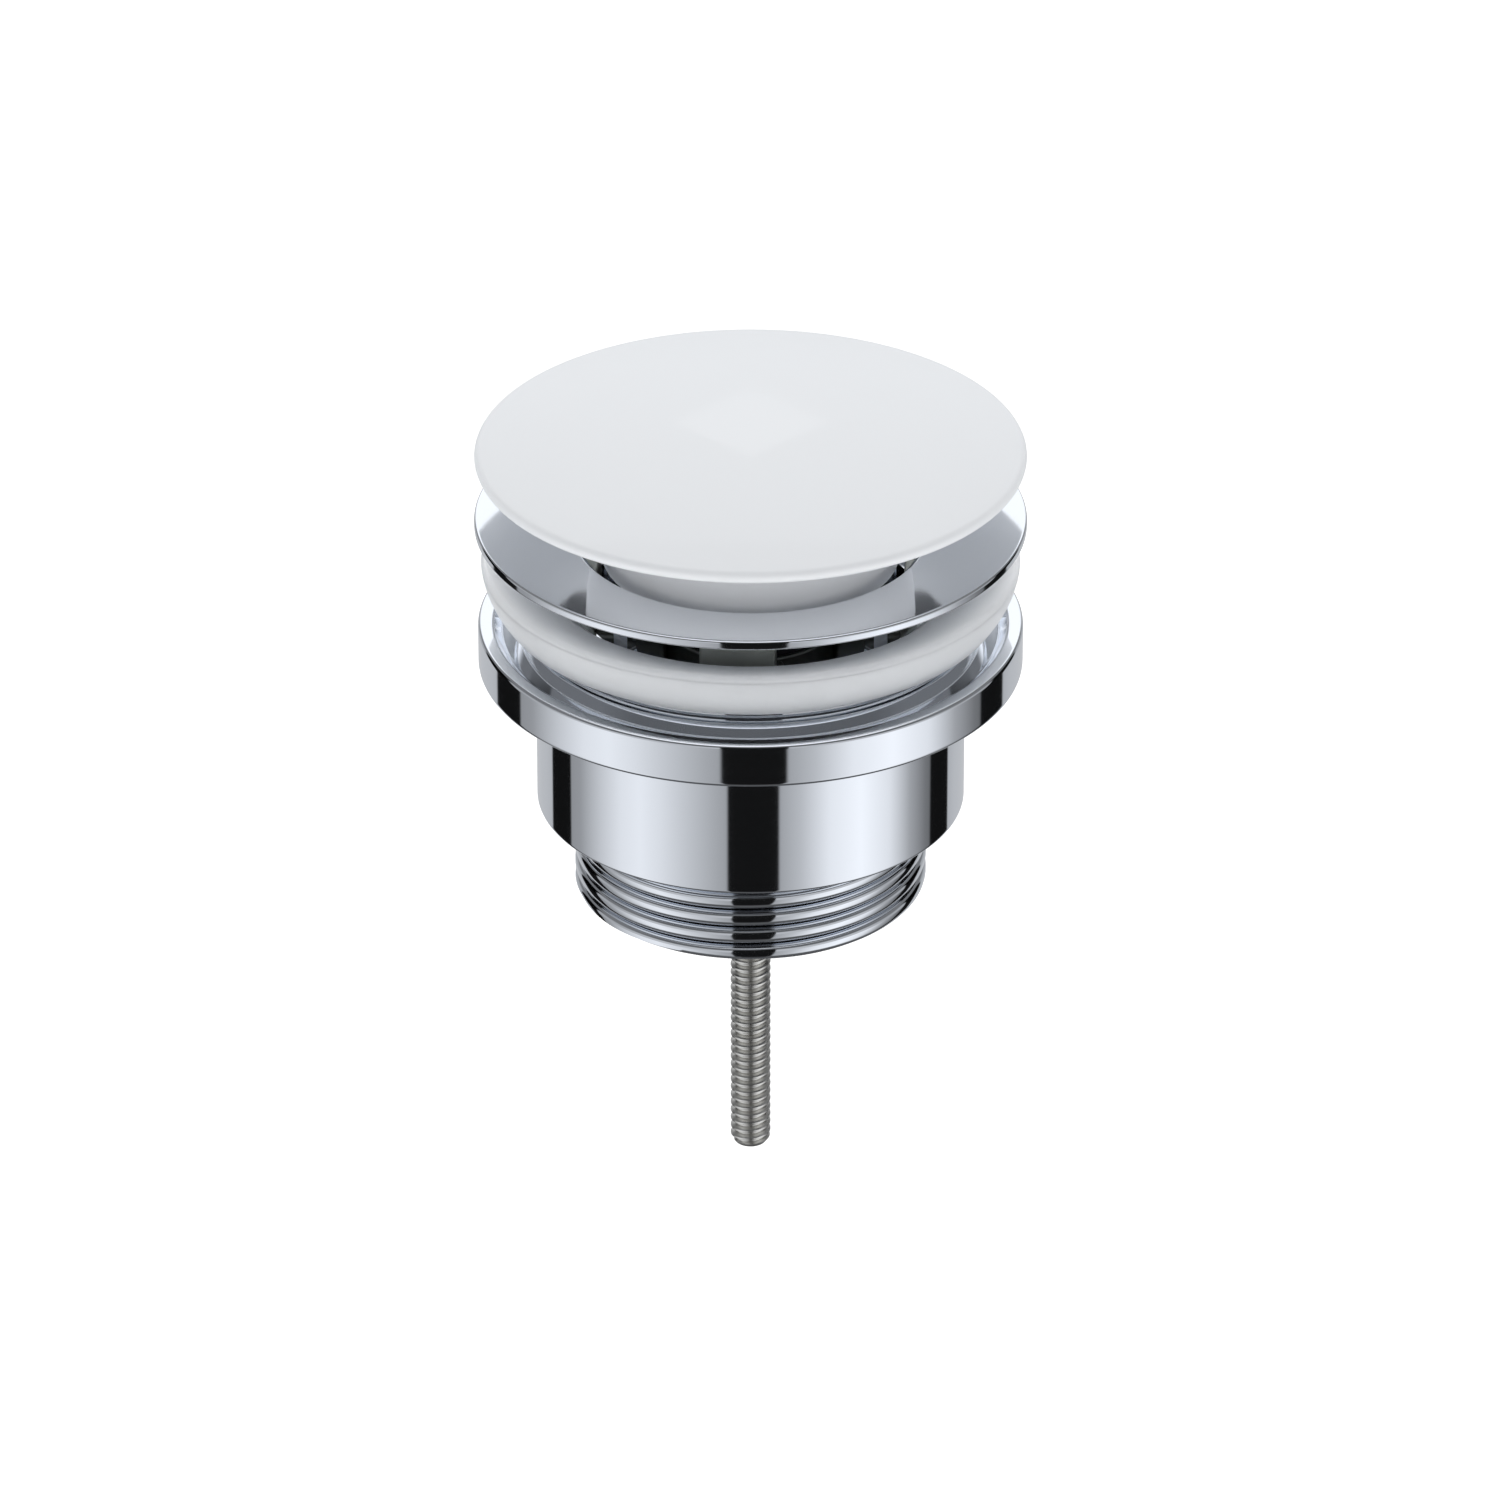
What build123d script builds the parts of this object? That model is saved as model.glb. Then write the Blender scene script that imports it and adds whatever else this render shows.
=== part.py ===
from build123d import *
import math
import os

# Pop up basin waste with slotted neck, ceramic cap and long clamping screw.
# Millimetres, +Z up. The origin is the centre of the tail's lower end.
# Rest pose: cap raised, lower body drawn up against the top piece.

# Clearances and fits
running_fit = 0.05
loose_fit = 0.3
seat_gap = 0.1

# Lower body: tail, barrel, flange with recess and collar
tail_r = 20.955
tail_bore_r = 17.9
tail_length = 11.68
tail_relief_r = 19.6
tail_relief_length = 1.4
tail_pitch = 2.309
tail_groove_count = 4
tail_groove_z = 2.1
tail_groove_depth = 1.1
tail_groove_half = 0.58
barrel_r = 25.4
barrel_bore_r = 23.4
barrel_height = 17.78
barrel_edge_r = 0.5
barrel_floor = 1.6
flange_r = 32.2
flange_height = 5.52
rim_inner_r = 30.4
recess_wall_r = 29.3
recess_depth = 1.75
collar_r = 27.1
collar_height = 3.35
collar_groove_depth = 0.5
collar_groove_low = 1.65
collar_groove_width = 0.9
spider_hub_r = 6.2
spider_arm_width = 4.0
spider_arm_height = 6.0
spider_top = 12.2
arm_count = 4

# Ring gasket on the collar and sealing ring below the top flange
gasket_r = 26.8
gasket_height = 1.0
ring_bore_r = 22.3
ring_r = 31.8
ring_foot_r = 28.9
ring_mouth_r = 24.9
ring_height_outer = 5.7
ring_height_inner = 3.9
ring_mouth_drop = 2.2

# Top piece: dish, neck with four windows, cross and hub
seat_z = 47.58
dish_r = 32.5
dish_rim_height = 1.2
dish_rim_round = 0.3
dish_inner_r = 31.5
dish_inner_rise = 1.0
dish_hole_r = 20.8
dish_hole_drop = 1.16
dish_under_r = 31.0
neck_r = 21.5
neck_bore_r = 20.0
neck_depth = 22.5
neck_under_drop = 2.75
window_top_drop = 3.2
window_sill_drop = 10.2
window_angle = 84.0
window_corner_r = 1.9
cross_arm_width = 8.0
cross_arm_chamfer = 0.8
cross_top_drop = 12.7
cross_arm_height = 6.3
hub_r = 10.4
hub_bore_depth = 13.9
hub_body_depth = 14.3
hub_foot_r = 7.4
hub_foot_length = 3.0
hub_depth = 20.5
head_chamber_r = 5.2
screw_hole_r = 2.75
hub_floor = 2.5

# Cartridge that screws into the hub
housing_thread_r = 8.0
housing_bore_r = 6.15
drum_guide_r = 4.5
cartridge_gasket_height = 1.0
housing_hex_flats = 16.0
housing_hex_height = 2.0
housing_barrel_r = 7.2
housing_barrel_height = 4.8
bush_height = 2.1
bush_r = 5.4
oring_section = 1.1
oring_r = 4.55
plug_height = 2.0
spigot_r = 1.5
spigot_height = 3.9
index_ring_height = 2.4
index_pin_r = 0.7
index_pin_reach = 3.65
shoulder_drop = 1.7
spacer_bore_r = 5.0

# Stem with its cam drum, and the stroke the cam gives
stroke = 6.8
latch_rise = 0.4
turn_down = 50.0
turn_latch = 24.0
cam_repeats = 2
groove_fit = 0.1
drum_r = 4.45
drum_root_r = 3.5
drum_bore_r = 2.6
drum_margin = 1.7
stem_r = 3.0
stem_thread_r = 2.5
spring_coil_r = 2.15
spring_wire_r = 0.25
spring_turns = 8

# Stopper under the cap
nut_flats = 8.0
nut_height = 3.0
cup_r = 17.5
cup_wall = 1.4
cup_web = 2.0
cup_skirt_bottom_drop = 4.2
cup_flange_r = 19.0
cup_crown_r = 14.2
groove_root_r = 16.9
lip_r = 20.5
lip_height = 1.5
lip_foot_r = 19.7
lip_chamfer = 0.75
insert_r = 4.0
insert_length = 4.2
insert_depth = 3.9

# Ceramic cap
cap_r = 32.4
cap_rim_z = 56.75
cap_edge_r = 0.78
cap_rise = 3.5
cap_boss_r = 12.0
cap_hollow_rise = 1.5

# Clamping screw
screw_r = 2.413
screw_length = 53.8
screw_tip_r = 1.5
screw_head_r = 4.3
screw_head_height = 3.0
screw_slot_width = 1.2
screw_slot_depth = 1.3
washer_r = 4.9
washer_height = 0.8
body_insert_r = 4.0
body_insert_flange_r = 6.0
body_insert_flange = 1.6

# Levels that follow from the sizes above
flange_under_z = tail_length + barrel_height
flange_top_z = flange_under_z + flange_height
recess_z = flange_top_z - recess_depth
collar_top_z = recess_z + collar_height
gasket_top_z = collar_top_z + gasket_height
ring_z = gasket_top_z + seat_gap
cross_top_z = seat_z - cross_top_drop
hub_foot_z = cross_top_z - hub_depth
chamber_z = hub_foot_z + hub_floor
washer_top_z = chamber_z + washer_height
housing_hex_z = cross_top_z + cartridge_gasket_height
housing_barrel_z = housing_hex_z + housing_hex_height
housing_top_z = housing_barrel_z + housing_barrel_height
housing_foot_z = cross_top_z - hub_bore_depth + 0.2
bush_z = housing_top_z - bush_height
shoulder_z = cross_top_z - shoulder_drop
ring_top_z = shoulder_z - seat_gap
ring_foot_z = ring_top_z - index_ring_height
pin_z = ring_foot_z + index_ring_height / 2
plug_top_z = housing_foot_z + plug_height
drum_foot_z = pin_z - drum_margin
drum_top_z = pin_z + stroke + drum_margin
spring_top_z = drum_top_z - 1.8
nut_z = housing_top_z + stroke + 0.3
cup_web_z = nut_z + nut_height
cup_top_z = cup_web_z + cup_web
cup_groove_z = cup_web_z + 0.1
insert_top_z = cup_top_z + insert_length
stem_top_z = cup_top_z + insert_depth - 0.2


def turned(*points):
    """Full turn about Z of a closed profile given as (radius, height) pairs."""
    outline = Polyline(*[(r, 0, z) for r, z in points], close=True)
    return revolve(make_face(outline.edges()), Axis.Z, 360)


def tube(outer, inner, low, high):
    """Ring between two radii and two heights."""
    return turned((inner, low), (outer, low), (outer, high), (inner, high))


def rod(radius, low, high):
    """Round bar between two heights."""
    return Pos(0, 0, low) * Cylinder(radius, high - low, align=(Align.CENTER, Align.CENTER, Align.MIN))


def hexagon(flats, low, high):
    """Hexagonal bar with its top and bottom corners turned off."""
    corner = flats / math.sqrt(3)
    bar = Pos(0, 0, low) * extrude(RegularPolygon(corner, 6), high - low)
    drop = (corner - flats / 2) * 0.6
    keep = turned((0, low), (flats / 2, low), (corner, low + drop), (corner, high - drop), (flats / 2, high), (0, high))
    return bar & keep


def arms(count, width, inner, outer, low, height, chamfer_size=0):
    """Radial arms of a spider, starting along +Y."""
    bar = Box(width, outer - inner, height, align=(Align.CENTER, Align.MIN, Align.MIN))
    if chamfer_size:
        long_edges = bar.edges().filter_by(Axis.Y).group_by(Axis.Z)[-1]
        bar = chamfer(long_edges, chamfer_size)
    placed = Pos(0, inner, low) * bar
    return [Rot(0, 0, i * 360 / count) * placed for i in range(count)]


def circle_edges(solid, radius, z):
    """Circular edges of a solid at one radius and height."""
    found = solid.edges().filter_by(GeomType.CIRCLE)
    return [e for e in found if abs(e.radius - radius) < 0.01 and abs(e.center().Z - z) < 0.01]


def tail_groove(mid_z):
    """Ring that cuts one groove of the tail's pipe thread, drawn as rings at its pitch."""
    return turned(
        (tail_r - tail_groove_depth, mid_z),
        (tail_r, mid_z - tail_groove_half),
        (tail_r + 1, mid_z - tail_groove_half),
        (tail_r + 1, mid_z + tail_groove_half),
        (tail_r, mid_z + tail_groove_half),
    )


def lower_body():
    """Turned brass body: recessed flange with collar, barrel and tail."""
    groove_low_z = recess_z + collar_groove_low
    groove_high_z = groove_low_z + collar_groove_width
    groove_r = collar_r - collar_groove_depth
    inner_floor_z = tail_length + barrel_floor
    body = turned(
        (tail_bore_r, 0),
        (tail_r, 0),
        (tail_r, tail_length - tail_relief_length),
        (tail_relief_r, tail_length - tail_relief_length + 0.6),
        (tail_relief_r, tail_length),
        (barrel_r, tail_length),
        (barrel_r, flange_under_z),
        (flange_r, flange_under_z),
        (flange_r, flange_top_z),
        (rim_inner_r, flange_top_z),
        (recess_wall_r, recess_z + 0.35),
        (collar_r, recess_z),
        (collar_r, groove_low_z),
        (groove_r, groove_low_z + 0.25),
        (groove_r, groove_high_z - 0.25),
        (collar_r, groove_high_z),
        (collar_r, collar_top_z - 0.3),
        (collar_r - 0.3, collar_top_z),
        (barrel_bore_r, collar_top_z),
        (barrel_bore_r, inner_floor_z + 1.4),
        (barrel_bore_r - 1.4, inner_floor_z),
        (tail_bore_r + 0.8, inner_floor_z - 0.4),
        (tail_bore_r, inner_floor_z - 1.2),
    )
    for i in range(tail_groove_count):
        body -= tail_groove(tail_groove_z + i * tail_pitch)
    body = fillet(circle_edges(body, barrel_r, tail_length), barrel_edge_r)
    body = fillet(circle_edges(body, flange_r, flange_under_z), 0.6)
    body = fillet(circle_edges(body, flange_r, flange_top_z), 0.5)
    return body


def tail_spider():
    """Cross in the tail with the hub of the threaded bush; it meets the bore of the tail."""
    spider_foot = spider_top - spider_arm_height
    hub = tube(spider_hub_r, body_insert_r + running_fit, spider_foot, spider_top)
    spokes = arms(arm_count, spider_arm_width, body_insert_r + 1, tail_bore_r + 0.5, spider_foot, spider_arm_height, 0.6)
    cross = spokes[0]
    for spoke in spokes[1:]:
        cross += spoke
    ring_space = rod(tail_bore_r, spider_foot - 1, spider_top + 1) - rod(body_insert_r + 1, spider_foot - 1, spider_top + 1)
    return (cross & ring_space) + hub


def flange_cup():
    """Top piece: dish and neck with four windows."""
    hole_z = seat_z - dish_hole_drop
    dish = turned(
        (neck_bore_r, seat_z - neck_depth),
        (neck_r - 0.4, seat_z - neck_depth),
        (neck_r, seat_z - neck_depth + 0.4),
        (neck_r, seat_z - neck_under_drop),
        (dish_under_r, seat_z),
        (dish_r, seat_z),
        (dish_r, seat_z + dish_rim_height),
        (dish_inner_r, seat_z + dish_inner_rise),
        (dish_hole_r, hole_z),
        (neck_bore_r, hole_z - (dish_hole_r - neck_bore_r)),
    )
    dish = fillet(circle_edges(dish, dish_r, seat_z + dish_rim_height), dish_rim_round)
    dish = fillet(circle_edges(dish, dish_r, seat_z), dish_rim_round)
    dish = fillet(circle_edges(dish, neck_r, seat_z - neck_under_drop), 0.4)
    opening = revolve(
        make_face(Polyline(
            (neck_bore_r - 1, 0, seat_z - window_sill_drop),
            (neck_r + 1, 0, seat_z - window_sill_drop),
            (neck_r + 1, 0, seat_z - window_top_drop),
            (neck_bore_r - 1, 0, seat_z - window_top_drop),
            close=True,
        ).edges()),
        Axis.Z,
        window_angle,
    )
    flat_ends = opening.faces().filter_by(GeomType.PLANE)
    upright_ends = [f for f in flat_ends if abs(f.normal_at().Z) < 0.1]
    corners = [e for f in upright_ends for e in f.edges() if abs(e.tangent_at(0.5).Z) < 0.1]
    opening = fillet(corners, window_corner_r)
    for i in range(arm_count):
        dish -= Rot(0, 0, i * 90 - window_angle / 2) * opening
    return dish


def cup_cross():
    """Cross of the top piece with its threaded hub; it meets the bore of the neck."""
    hub = turned(
        (housing_thread_r + running_fit, cross_top_z),
        (housing_thread_r + running_fit, cross_top_z - hub_bore_depth),
        (head_chamber_r, cross_top_z - hub_bore_depth),
        (head_chamber_r, chamber_z),
        (screw_hole_r, chamber_z),
        (screw_hole_r, hub_foot_z),
        (hub_foot_r, hub_foot_z),
        (hub_foot_r, hub_foot_z + hub_foot_length),
        (hub_r, cross_top_z - hub_body_depth),
        (hub_r, cross_top_z - 0.4),
        (hub_r - 0.4, cross_top_z),
    )
    low = cross_top_z - cross_arm_height
    reach = neck_bore_r + 0.6
    neck_space = rod(neck_bore_r, hub_foot_z, cross_top_z + 1)
    for arm in arms(arm_count, cross_arm_width, hub_r - 1.2, reach, low, cross_arm_height, cross_arm_chamfer):
        hub += arm & neck_space
    return hub


def cap():
    """Shallow ceramic dome with a rounded edge and a boss for the insert."""
    edge_top = cap_rim_z + cap_edge_r
    edge_low = cap_rim_z - cap_edge_r
    edge_in = cap_r - cap_edge_r
    apex = edge_top + cap_rise
    dome_r = (edge_in ** 2 + cap_rise ** 2) / (2 * cap_rise)
    mid_r = edge_in / 2
    mid_z = apex - dome_r + math.sqrt(dome_r ** 2 - mid_r ** 2)
    boss_top_z = edge_low + cap_hollow_rise
    half = make_face([
        ThreePointArc((0, 0, apex), (mid_r, 0, mid_z), (edge_in, 0, edge_top)),
        ThreePointArc((edge_in, 0, edge_top), (cap_r, 0, cap_rim_z), (edge_in, 0, edge_low)),
        ThreePointArc((edge_in, 0, edge_low), (22, 0, edge_low + 1.0), (cap_boss_r, 0, boss_top_z)),
        Line((cap_boss_r, 0, boss_top_z), (cap_boss_r, 0, cup_top_z + seat_gap)),
        Line((cap_boss_r, 0, cup_top_z + seat_gap), (0, 0, cup_top_z + seat_gap)),
        Line((0, 0, cup_top_z + seat_gap), (0, 0, apex)),
    ])
    dome = revolve(half, Axis.Z, 360)
    dome = fillet(circle_edges(dome, cap_boss_r, cup_top_z + seat_gap), 0.5)
    return dome - rod(insert_r + running_fit, cup_top_z, insert_top_z + running_fit)


def cap_insert():
    """Brass insert glued into the cap, blind and threaded for the stem."""
    blank = turned(
        (0, cup_top_z),
        (insert_r - 0.3, cup_top_z),
        (insert_r, cup_top_z + 0.3),
        (insert_r, insert_top_z - 0.3),
        (insert_r - 0.3, insert_top_z),
        (0, insert_top_z),
    )
    return blank - rod(stem_thread_r + running_fit, cup_top_z, cup_top_z + insert_depth)


def stopper_cup():
    """Round cup below the cap: skirt, web, crown and groove for the lip ring."""
    inner_r = cup_r - cup_wall
    skirt_z = seat_z - cup_skirt_bottom_drop
    lip_top = cup_groove_z + lip_height + 0.1
    return turned(
        (stem_thread_r + running_fit, cup_web_z),
        (inner_r - 1.6, cup_web_z),
        (inner_r, cup_web_z - 1.6),
        (inner_r, skirt_z),
        (cup_r - 0.3, skirt_z),
        (cup_r, skirt_z + 0.3),
        (cup_r, cup_groove_z - 0.1),
        (groove_root_r, cup_groove_z - 0.1),
        (groove_root_r, lip_top),
        (cup_flange_r, lip_top),
        (cup_flange_r, lip_top + 1.0),
        (cup_flange_r - 0.3, lip_top + 1.3),
        (cup_crown_r + 0.8, lip_top + 1.3),
        (cup_crown_r, cup_top_z),
        (stem_thread_r + running_fit, cup_top_z),
    )


def stopper_seal():
    """Rubber lip ring that closes the hole of the dish."""
    foot = cup_groove_z
    return turned(
        (groove_root_r + running_fit, foot),
        (lip_foot_r, foot),
        (lip_r, foot + lip_chamfer),
        (lip_r, foot + lip_height - 0.25),
        (lip_r - 0.25, foot + lip_height),
        (groove_root_r + running_fit, foot + lip_height),
    )


def cam_points():
    """One repeat of the zigzag track as (angle, height above the low point)."""
    repeat = 360 / cam_repeats
    deep = stroke + 0.25
    closed = stroke - latch_rise
    return [
        (0, 0),
        (turn_down * deep / stroke, deep),
        (turn_down + turn_latch, closed),
        (turn_down + 2 * turn_latch, deep),
        (repeat, 0),
    ]


def cam_track():
    """Solid that cuts the whole zigzag track into the drum."""
    half_width = index_pin_r + groove_fit
    depth_mid_r = (drum_r + 1 + drum_root_r) / 2
    depth = drum_r + 1 - drum_root_r
    profile = Rectangle(depth, 2 * half_width)
    points = cam_points()
    cutters = []
    for repeat in range(cam_repeats):
        turn = repeat * 360 / cam_repeats
        for (a0, h0), (a1, h1) in zip(points, points[1:]):
            a_low, h_low, a_high, h_high = (a0, h0, a1, h1) if h0 < h1 else (a1, h1, a0, h0)
            span = a_high - a_low
            rise = h_high - h_low
            pitch = rise * 360 / abs(span)
            run = Helix(pitch, rise, depth_mid_r, lefthand=span < 0)
            start = Plane(origin=run @ 0, x_dir=(1, 0, 0), z_dir=run % 0)
            leg = sweep(start * profile, path=run, is_frenet=True)
            cutters.append(Rot(0, 0, a_low + turn) * Pos(0, 0, h_low) * leg)
            end = Rot(0, 0, a_high + turn) * Pos(depth_mid_r, 0, h_high)
            cutters.append(end * Rot(0, 90, 0) * Cylinder(half_width, depth))
            low_end = Rot(0, 0, a_low + turn) * Pos(depth_mid_r, 0, h_low)
            cutters.append(low_end * Rot(0, 90, 0) * Cylinder(half_width, depth))
    return [Pos(0, 0, pin_z) * c for c in cutters]


def stem():
    """Stem in one piece with the cam drum; the track gives the push-push action."""
    blank = turned(
        (0, spring_top_z),
        (drum_bore_r, spring_top_z),
        (drum_bore_r, drum_foot_z),
        (drum_r - 0.2, drum_foot_z),
        (drum_r, drum_foot_z + 0.2),
        (drum_r, drum_top_z - 0.2),
        (drum_r - 0.2, drum_top_z),
        (stem_r, drum_top_z),
        (stem_r, nut_z),
        (stem_thread_r, nut_z),
        (stem_thread_r, stem_top_z - 0.5),
        (stem_thread_r - 0.5, stem_top_z),
        (0, stem_top_z),
    )
    for cutter in cam_track():
        blank -= cutter
    return blank


def index_ring():
    """Free ring with two inward pins that run in the cam track."""
    ring = tube(housing_bore_r - running_fit, drum_r + loose_fit, ring_foot_z, ring_top_z)
    pin_length = drum_r + 1 - index_pin_reach
    for i in range(cam_repeats):
        mid = index_pin_reach + pin_length / 2
        pin = Pos(mid, 0, pin_z) * Rot(0, 90, 0) * Cylinder(index_pin_r, pin_length)
        ring += Rot(0, 0, i * 360 / cam_repeats) * pin
    return ring


def cartridge_housing():
    """Brass housing: threaded shank, hexagon for the key and upper barrel."""
    shank = tube(housing_thread_r, housing_bore_r, housing_foot_z, housing_hex_z)
    shank = chamfer(circle_edges(shank, housing_thread_r, housing_foot_z), 0.6)
    solid = shank + hexagon(housing_hex_flats, housing_hex_z, housing_barrel_z)
    solid += rod(housing_barrel_r, housing_barrel_z, housing_top_z)
    solid += rod(housing_bore_r + 0.5, shoulder_z, housing_hex_z + 0.1)
    solid -= rod(housing_bore_r, housing_foot_z, shoulder_z)
    solid -= rod(drum_guide_r, shoulder_z - 1, bush_z + 0.5)
    solid -= rod(bush_r, bush_z, housing_top_z)
    return chamfer(circle_edges(solid, housing_barrel_r, housing_top_z), 0.4)


def return_spring():
    """Compression spring between the plug and the bore of the drum."""
    low = plug_top_z + spring_wire_r
    length = spring_top_z - plug_top_z - 2 * spring_wire_r
    path = Helix(length / spring_turns, length, spring_coil_r)
    section = Plane(origin=path @ 0, z_dir=path % 0) * Circle(spring_wire_r)
    return Pos(0, 0, low) * sweep(section, path=path, is_frenet=True)


def cartridge_plug():
    """Plug that closes the housing and carries the spring on a spigot."""
    return turned(
        (0, housing_foot_z),
        (housing_bore_r - running_fit, housing_foot_z),
        (housing_bore_r - running_fit, plug_top_z),
        (spigot_r, plug_top_z),
        (spigot_r, plug_top_z + spigot_height - 0.4),
        (spigot_r - 0.4, plug_top_z + spigot_height),
        (0, plug_top_z + spigot_height),
    )


def guide_bush():
    """Plastic bush pressed in above the stem's wiper ring."""
    outer = bush_r - running_fit
    inner = stem_r + running_fit
    return turned(
        (oring_r + running_fit, bush_z),
        (outer, bush_z),
        (outer, housing_top_z - 0.2),
        (outer - 0.2, housing_top_z),
        (inner, housing_top_z),
        (inner, bush_z + oring_section + 2 * running_fit),
        (oring_r + running_fit, bush_z + oring_section + 2 * running_fit),
    )


def stem_wiper():
    """Rubber ring of round section around the stem."""
    section_r = oring_section / 2
    inner = stem_r + running_fit
    profile = Plane.XZ * Pos(inner + section_r, bush_z + section_r + running_fit) * Circle(section_r)
    return revolve(profile, Axis.Z, 360)


def lock_nut():
    """Hexagon nut that clamps the stopper cup against the cap's insert."""
    return hexagon(nut_flats, nut_z, cup_web_z) - rod(stem_thread_r + running_fit, nut_z, cup_web_z)


def sealing_ring():
    """Soft silicone ring with a bowl-shaped flank and a sloping top, loose around the neck."""
    top = ring_z + ring_height_outer
    mouth_z = ring_z + ring_height_inner
    flank_mid = (ring_r - (ring_r - ring_foot_r) / 4, 0, ring_z + ring_height_outer / 2)
    half = make_face([
        Line((ring_bore_r, 0, ring_z), (ring_foot_r, 0, ring_z)),
        ThreePointArc((ring_foot_r, 0, ring_z), flank_mid, (ring_r, 0, top)),
        Line((ring_r, 0, top), (ring_mouth_r, 0, mouth_z)),
        Line((ring_mouth_r, 0, mouth_z), (ring_bore_r, 0, mouth_z - ring_mouth_drop)),
        Line((ring_bore_r, 0, mouth_z - ring_mouth_drop), (ring_bore_r, 0, ring_z)),
    ])
    ring = revolve(half, Axis.Z, 360)
    ring = fillet(circle_edges(ring, ring_foot_r, ring_z), 0.5)
    return fillet(circle_edges(ring, ring_r, top), 0.35)


def clamp_screw():
    """Slotted screw with a rounded tip; the thread is left plain."""
    tip_z = washer_top_z - screw_length
    round_height = screw_r - screw_tip_r
    shank = turned(
        (0, tip_z),
        (screw_tip_r, tip_z),
        (screw_r, tip_z + round_height),
        (screw_r, washer_top_z),
        (screw_head_r, washer_top_z),
        (screw_head_r, washer_top_z + screw_head_height - 0.5),
        (screw_head_r - 0.5, washer_top_z + screw_head_height),
        (0, washer_top_z + screw_head_height),
    )
    slot_z = washer_top_z + screw_head_height - screw_slot_depth
    slot = Box(screw_slot_width, 3 * screw_head_r, 3, align=(Align.CENTER, Align.CENTER, Align.MIN))
    return shank - Pos(0, 0, slot_z) * slot


def body_insert():
    """Brass threaded bush that the screw draws up below the spider."""
    spider_foot = spider_top - spider_arm_height
    bore = screw_r + running_fit
    return turned(
        (bore, spider_foot - body_insert_flange),
        (body_insert_flange_r - 0.3, spider_foot - body_insert_flange),
        (body_insert_flange_r, spider_foot - body_insert_flange + 0.3),
        (body_insert_flange_r, spider_foot),
        (body_insert_r, spider_foot),
        (body_insert_r, spider_top - 0.2),
        (body_insert_r - 0.2, spider_top),
        (bore, spider_top),
    )


parts = {
    "cap": cap(),
    "cap_insert": cap_insert(),
    "stopper_cup": stopper_cup(),
    "stopper_seal": stopper_seal(),
    "stem": stem(),
    "lock_nut": lock_nut(),
    "guide_bush": guide_bush(),
    "stem_wiper": stem_wiper(),
    "cartridge_housing": cartridge_housing(),
    "cartridge_gasket": tube(hub_r - 0.5, housing_thread_r + running_fit, cross_top_z, housing_hex_z),
    "index_ring": index_ring(),
    "spacer_sleeve": tube(housing_bore_r - running_fit, spacer_bore_r, plug_top_z, ring_foot_z - seat_gap),
    "return_spring": return_spring(),
    "cartridge_plug": cartridge_plug(),
    "flange_cup": flange_cup(),
    "cup_cross": cup_cross(),
    "sealing_ring": sealing_ring(),
    "clamp_screw": clamp_screw(),
    "screw_washer": tube(washer_r, screw_hole_r, chamber_z, washer_top_z),
    "body_insert": body_insert(),
    "collar_gasket": tube(gasket_r, neck_r + 2 * loose_fit, collar_top_z, gasket_top_z),
    "lower_body": lower_body(),
    "tail_spider": tail_spider(),
}

os.makedirs("parts", exist_ok=True)
for name, solid in parts.items():
    solid.label = name
    export_step(solid, f"parts/{name}.step")
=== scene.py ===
import math

import bmesh
import bpy
from mathutils import Matrix, Vector


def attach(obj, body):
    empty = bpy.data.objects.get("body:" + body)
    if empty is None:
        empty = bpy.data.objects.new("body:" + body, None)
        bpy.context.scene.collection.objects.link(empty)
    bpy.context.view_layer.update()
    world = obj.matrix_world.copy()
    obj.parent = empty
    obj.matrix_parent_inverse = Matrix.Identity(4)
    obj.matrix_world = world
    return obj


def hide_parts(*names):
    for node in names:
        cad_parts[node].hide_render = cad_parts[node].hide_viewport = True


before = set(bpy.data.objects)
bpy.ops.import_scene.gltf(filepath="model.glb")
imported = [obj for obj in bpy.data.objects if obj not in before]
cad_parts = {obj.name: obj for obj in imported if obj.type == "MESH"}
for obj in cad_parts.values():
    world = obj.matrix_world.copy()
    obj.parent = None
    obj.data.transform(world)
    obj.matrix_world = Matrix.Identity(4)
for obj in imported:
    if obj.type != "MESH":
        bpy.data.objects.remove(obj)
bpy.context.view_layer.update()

# LOWER BODY
# Chrome plated brass turning: flange with a recess and a grooved collar, plain
# barrel, tail with a G 1 1/4 thread. A spider with four arms is cast across the
# tail and takes the threaded bush of the clamping screw. All sizes are in mm.
MM = 0.001
TURN_STEPS = 192
SAME_POINT, SLIVER = 1e-7, 1e-8  # welding distances, in metres
HELD_FLAT = 0.15


def rounded(corners, arc_steps=6):
    """Profile points from corners given as (radius, height, rounding).

    A point just past each rounding keeps the shading of the flat beside it."""
    points = []
    count = len(corners)
    for i, (r, z, fillet) in enumerate(corners):
        here = Vector((r, z))
        if fillet <= 0:
            points.append((r, z))
            continue
        before = Vector(corners[i - 1][:2]) - here
        after = Vector(corners[(i + 1) % count][:2]) - here
        before.normalize()
        after.normalize()
        half = before.angle(after) / 2
        reach = fillet / math.tan(half)
        centre = here + (before + after).normalized() * (fillet / math.sin(half))
        start = here + before * reach
        sweep = math.pi - 2 * half
        turn = 1 if before.x * after.y - before.y * after.x < 0 else -1
        arm = start - centre
        points.append(tuple(start + before * HELD_FLAT * fillet))
        for k in range(arc_steps + 1):
            a = turn * sweep * k / arc_steps
            points.append((
                centre.x + arm.x * math.cos(a) - arm.y * math.sin(a),
                centre.y + arm.x * math.sin(a) + arm.y * math.cos(a),
            ))
        end = here + after * reach
        points.append(tuple(end + after * HELD_FLAT * fillet))
    return points


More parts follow.
